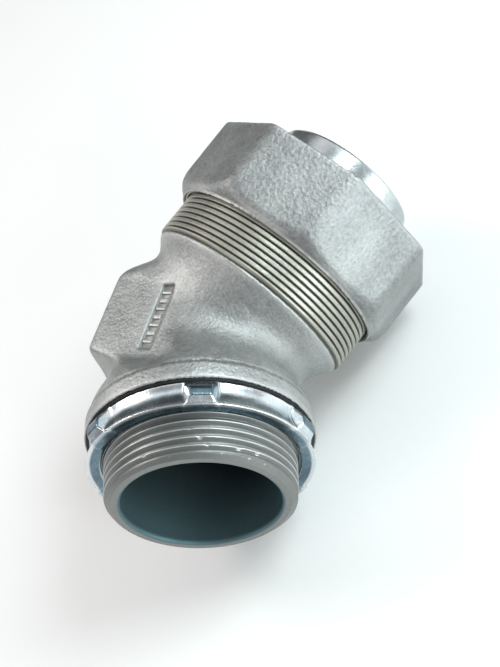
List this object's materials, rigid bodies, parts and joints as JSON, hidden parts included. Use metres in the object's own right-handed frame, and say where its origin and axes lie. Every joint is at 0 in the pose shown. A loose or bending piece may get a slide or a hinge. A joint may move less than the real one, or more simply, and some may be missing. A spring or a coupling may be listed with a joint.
{
  "type": "conduit compression fitting",
  "caption": "45-degree liquid-tight conduit elbow with a tapered hub thread, a locknut, a gland nut and a grounding ferrule.",
  "frame": {"origin": "centre of the sealing plane, the gasket's outer face, on the axis of the hub", "axes": "-Y out of the hub's mouth, the conduit branch leaves towards +X +Y at 45 degrees, +Z square to the plane of the elbow on the side with the recessed tag"},
  "size_m": [0.0937, 0.1065, 0.0696],
  "materials": {
    "cast_body": "sand cast, zinc plated and lacquered",
    "cast_nut": "sand cast, zinc plated and lacquered",
    "ferrule_zinc": "bright zinc plate",
    "nylon": "plain nylon",
    "washer_zinc": "zinc plate",
    "locknut_zinc": "bright blue zinc plate",
    "gasket": "matt"
  },
  "bodies": {
    "body": {"elbow_body": "cast_body"},
    "seal_stack": {"sealing_ring": "nylon", "slip_washer": "washer_zinc"},
    "nut": {"gland_nut": "cast_nut"},
    "ferrule": {"ferrule": "ferrule_zinc"},
    "gasket": {"hub_gasket": "gasket"},
    "locknut": {"locknut": "locknut_zinc"}
  },
  "joints": [
    {"name": "stack_travel", "type": "slide", "parent": "body", "child": "seal_stack", "axis": [0.7071, 0.7071, 0], "range_m": [-0.0055, 0.0032]},
    {"name": "nut_turn", "type": "hinge", "parent": "seal_stack", "child": "nut", "pos_m": [0, 0.0252, 0], "axis": [0.7071, 0.7071, 0], "range_deg": [-1240, 720]},
    {"name": "ferrule_travel", "type": "slide", "parent": "body", "child": "ferrule", "axis": [0.7071, 0.7071, 0], "range_m": [-0.0055, 0.0032]},
    {"name": "gasket_travel", "type": "slide", "parent": "body", "child": "gasket", "axis": [0, -1, 0], "range_m": [0, 0.0101]},
    {"name": "locknut_turn", "type": "hinge", "parent": "gasket", "child": "locknut", "pos_m": [0, 0, 0], "axis": [0, -1, 0], "range_deg": [0, 1620]}
  ],
  "couplings": [
    {"joint": "stack_travel", "follows": "nut_turn", "m_per_rad": 0.00025266},
    {"joint": "ferrule_travel", "follows": "nut_turn", "m_per_rad": 0.00025266},
    {"joint": "gasket_travel", "follows": "locknut_turn", "m_per_rad": 0.00035157}
  ]
}
